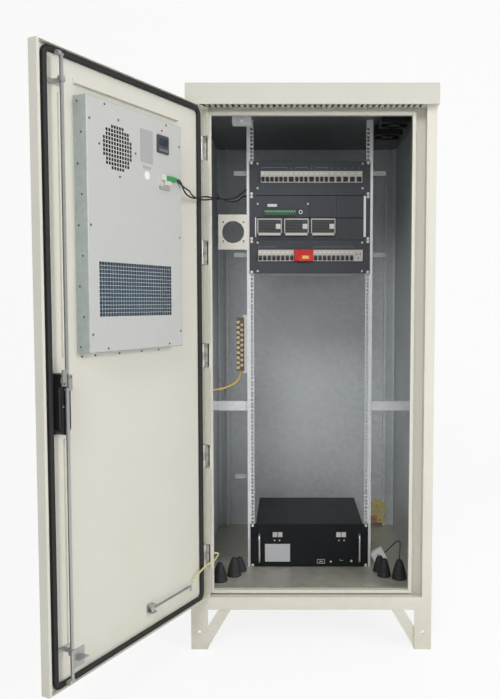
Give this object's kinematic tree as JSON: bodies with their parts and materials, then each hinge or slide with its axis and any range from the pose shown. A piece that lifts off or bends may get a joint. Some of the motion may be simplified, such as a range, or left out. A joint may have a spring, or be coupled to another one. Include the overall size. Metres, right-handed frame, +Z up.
{
  "type": "outdoor telecom power cabinet",
  "caption": "Free-standing outdoor equipment cabinet on a plinth, with a hinged front door carrying an air conditioner and a rack holding a power subrack and a battery.",
  "frame": {"origin": "ground level at the centre of the anchor bolt pattern", "axes": "+X to the viewer's right, +Y to the rear, +Z up"},
  "size_m": [1.2263, 1.6538, 2.08],
  "materials": {
    "cabinet_paint": "powder-coated warm light grey",
    "galvanised": "galvanised sheet",
    "bright_steel": "zinc-plated steel",
    "black_plastic": "moulded black plastic",
    "black_rubber": "black rubber",
    "cream_plastic": "moulded off-white plastic",
    "grey_panel": "powder-coated mid grey",
    "dark_panel": "powder-coated black",
    "red_plastic": "moulded red plastic",
    "green_plastic": "moulded green plastic",
    "copper": "bare copper",
    "aluminium": "aluminium fins",
    "earth_sleeve": "green and yellow cable sheath"
  },
  "bodies": {
    "cabinet": {"plinth_frame": "cabinet_paint", "floor_pan": "galvanised", "left_side_panel": "cabinet_paint", "right_side_panel": "cabinet_paint", "rear_panel": "cabinet_paint", "ceiling_panel": "galvanised", "front_frame": "cabinet_paint", "roof_cap": "cabinet_paint", "left_rack_rail": "galvanised", "right_rack_rail": "galvanised", "rail_brackets": "galvanised", "hinge_frame_leaves": "bright_steel", "hinge_pins": "bright_steel", "cable_glands": "black_rubber", "door_switch": "cream_plastic", "exhaust_fan_frames": "black_plastic", "fan_mount_plate": "cabinet_paint", "earth_bar": "copper", "earth_plate": "bright_steel", "water_sensor": "cream_plastic", "sensor_lead": "black_rubber", "earth_lead": "earth_sleeve", "subrack_chassis": "galvanised", "upper_breaker_panel": "grey_panel", "upper_breakers": "cream_plastic", "controller_unit": "grey_panel", "blank_covers": "grey_panel", "lower_breaker_panel": "grey_panel", "lower_breakers": "cream_plastic", "surge_cover": "red_plastic", "rack_screws": "bright_steel", "battery_case": "dark_panel", "battery_handles": "bright_steel", "battery_terminals": "black_plastic"},
    "door": {"door_leaf": "cabinet_paint", "door_liner": "cabinet_paint", "door_gasket": "black_rubber", "ac_chassis": "galvanised", "ac_inner_cover": "cabinet_paint", "evaporator_coil": "aluminium", "ac_outer_cover": "cabinet_paint", "ac_display": "black_plastic", "ac_plug": "green_plastic", "lock_housing": "black_plastic", "door_guides": "bright_steel", "hinge_door_leaves": "bright_steel", "door_harness": "black_rubber", "bonding_strap": "earth_sleeve"},
    "lock": {"lock_cam": "bright_steel"},
    "handle": {"swing_handle": "black_plastic"},
    "rod_up": {"upper_rod": "bright_steel"},
    "rod_down": {"lower_rod": "bright_steel"},
    "stay": {"door_stay": "bright_steel"},
    "blower": {"blower_wheel": "black_plastic"},
    "fan_front": {"exhaust_impeller_1": "black_plastic"},
    "fan_rear": {"exhaust_impeller_2": "black_plastic"},
    "module_1": {"rectifier_1": "dark_panel"},
    "module_2": {"rectifier_2": "dark_panel"},
    "module_3": {"rectifier_3": "dark_panel"}
  },
  "joints": [
    {"name": "door_hinge", "type": "hinge", "parent": "cabinet", "child": "door", "pos_m": [-0.4, -0.443, 1.1], "axis": [0, 0, -1], "range_deg": [-117, 0], "deforming": ["door_harness", "bonding_strap"]},
    {"name": "lock_turn", "type": "hinge", "parent": "door", "child": "lock", "pos_m": [-0.72437, -1.10825, 1.085], "axis": [-0.891, 0.454, 0], "range_deg": [0, 90]},
    {"name": "handle_lift", "type": "hinge", "parent": "lock", "child": "handle", "pos_m": [-0.75823, -1.09099, 1.085], "axis": [0, 0, 1], "range_deg": [0, 35]},
    {"name": "upper_rod_slide", "type": "slide", "parent": "door", "child": "rod_up", "axis": [0, 0, 1], "range_m": [0, 0.018]},
    {"name": "lower_rod_slide", "type": "slide", "parent": "door", "child": "rod_down", "axis": [0, 0, -1], "range_m": [0, 0.018]},
    {"name": "stay_swing", "type": "hinge", "parent": "door", "child": "stay", "pos_m": [-0.53652, -0.75279, 0.284], "axis": [0, 0, -1], "range_deg": [0, 60]},
    {"name": "blower_spin", "type": "hinge", "parent": "door", "child": "blower", "pos_m": [-0.62049, -0.91539, 1.756], "axis": [0.891, -0.454, 0], "continuous": true},
    {"name": "exhaust_1_spin", "type": "hinge", "parent": "cabinet", "child": "fan_front", "pos_m": [0.325, -0.24, 2], "axis": [0, 0, 1], "continuous": true},
    {"name": "exhaust_2_spin", "type": "hinge", "parent": "cabinet", "child": "fan_rear", "pos_m": [0.325, -0.03, 2], "axis": [0, 0, 1], "continuous": true},
    {"name": "rectifier_1_slide", "type": "slide", "parent": "cabinet", "child": "module_1", "axis": [0, -1, 0], "range_m": [0, 0.25]},
    {"name": "rectifier_2_slide", "type": "slide", "parent": "cabinet", "child": "module_2", "axis": [0, -1, 0], "range_m": [0, 0.25]},
    {"name": "rectifier_3_slide", "type": "slide", "parent": "cabinet", "child": "module_3", "axis": [0, -1, 0], "range_m": [0, 0.25]}
  ],
  "couplings": [
    {"joint": "upper_rod_slide", "follows": "lock_turn", "m_per_rad": 0.011459},
    {"joint": "lower_rod_slide", "follows": "lock_turn", "m_per_rad": 0.011459}
  ]
}
